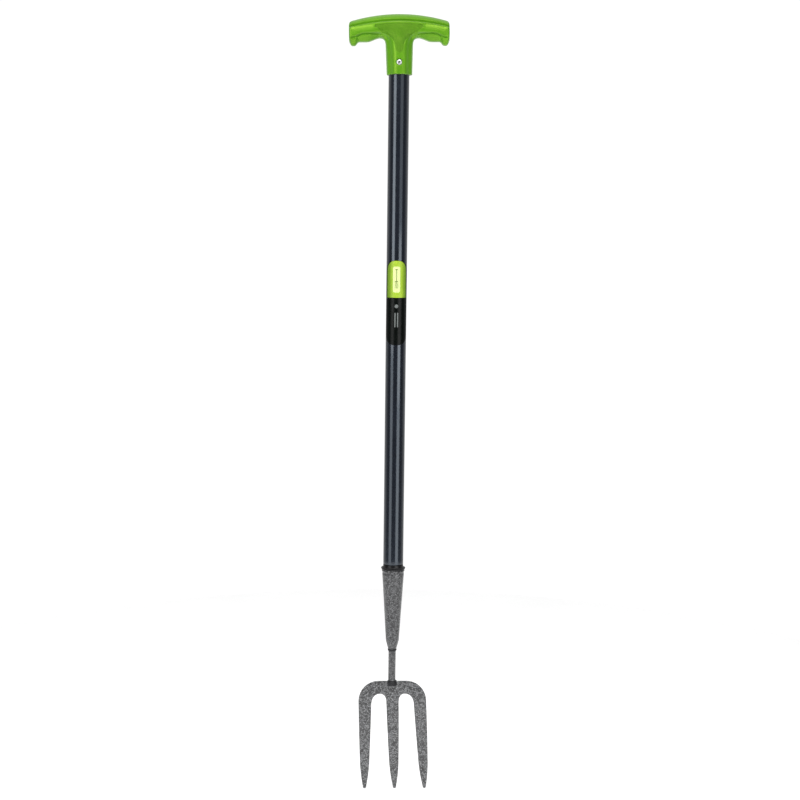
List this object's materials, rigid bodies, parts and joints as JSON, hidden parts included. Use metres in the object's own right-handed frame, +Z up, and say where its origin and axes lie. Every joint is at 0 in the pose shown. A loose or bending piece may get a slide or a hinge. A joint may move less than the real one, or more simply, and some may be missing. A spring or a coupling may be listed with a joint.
{
  "type": "weeding fork",
  "caption": "Long-handled garden fork: moulded T-grip riveted on a steel tube, conical socket, cranked round neck and a flat stamped head with splayed pointed tines.",
  "frame": {"origin": "on the shaft axis, at the level of the lowest tine tip", "axes": "+Z up along the shaft towards the grip, -Y towards the front with the label and the grip rivet, +X along the grip bar to the right as seen from the front"},
  "size_m": [0.1223, 0.0334, 0.9788],
  "materials": {
    "grip_plastic": "moulded satin with a fine texture on the front panel",
    "rivet_aluminium": "bright drawn",
    "mandrel_steel": "snapped end",
    "shaft_paint": "gloss charcoal powder coat",
    "label_film": "printed film, green over black",
    "bush_plastic": "moulded satin",
    "hammer_paint": "grey hammered enamel",
    "weld_paint": "enamel over weld"
  },
  "bodies": {
    "root": {"t_grip": "grip_plastic", "grip_rivet_body": "rivet_aluminium", "grip_rivet_mandrel": "mandrel_steel", "shaft_tube": "shaft_paint", "shaft_label": "label_film", "shaft_bush": "bush_plastic", "socket": "hammer_paint", "socket_rivet_body": "rivet_aluminium", "socket_rivet_mandrel": "mandrel_steel", "neck": "hammer_paint", "socket_weld": "weld_paint", "fork_head": "hammer_paint", "head_weld": "weld_paint"}
  },
  "joints": []
}
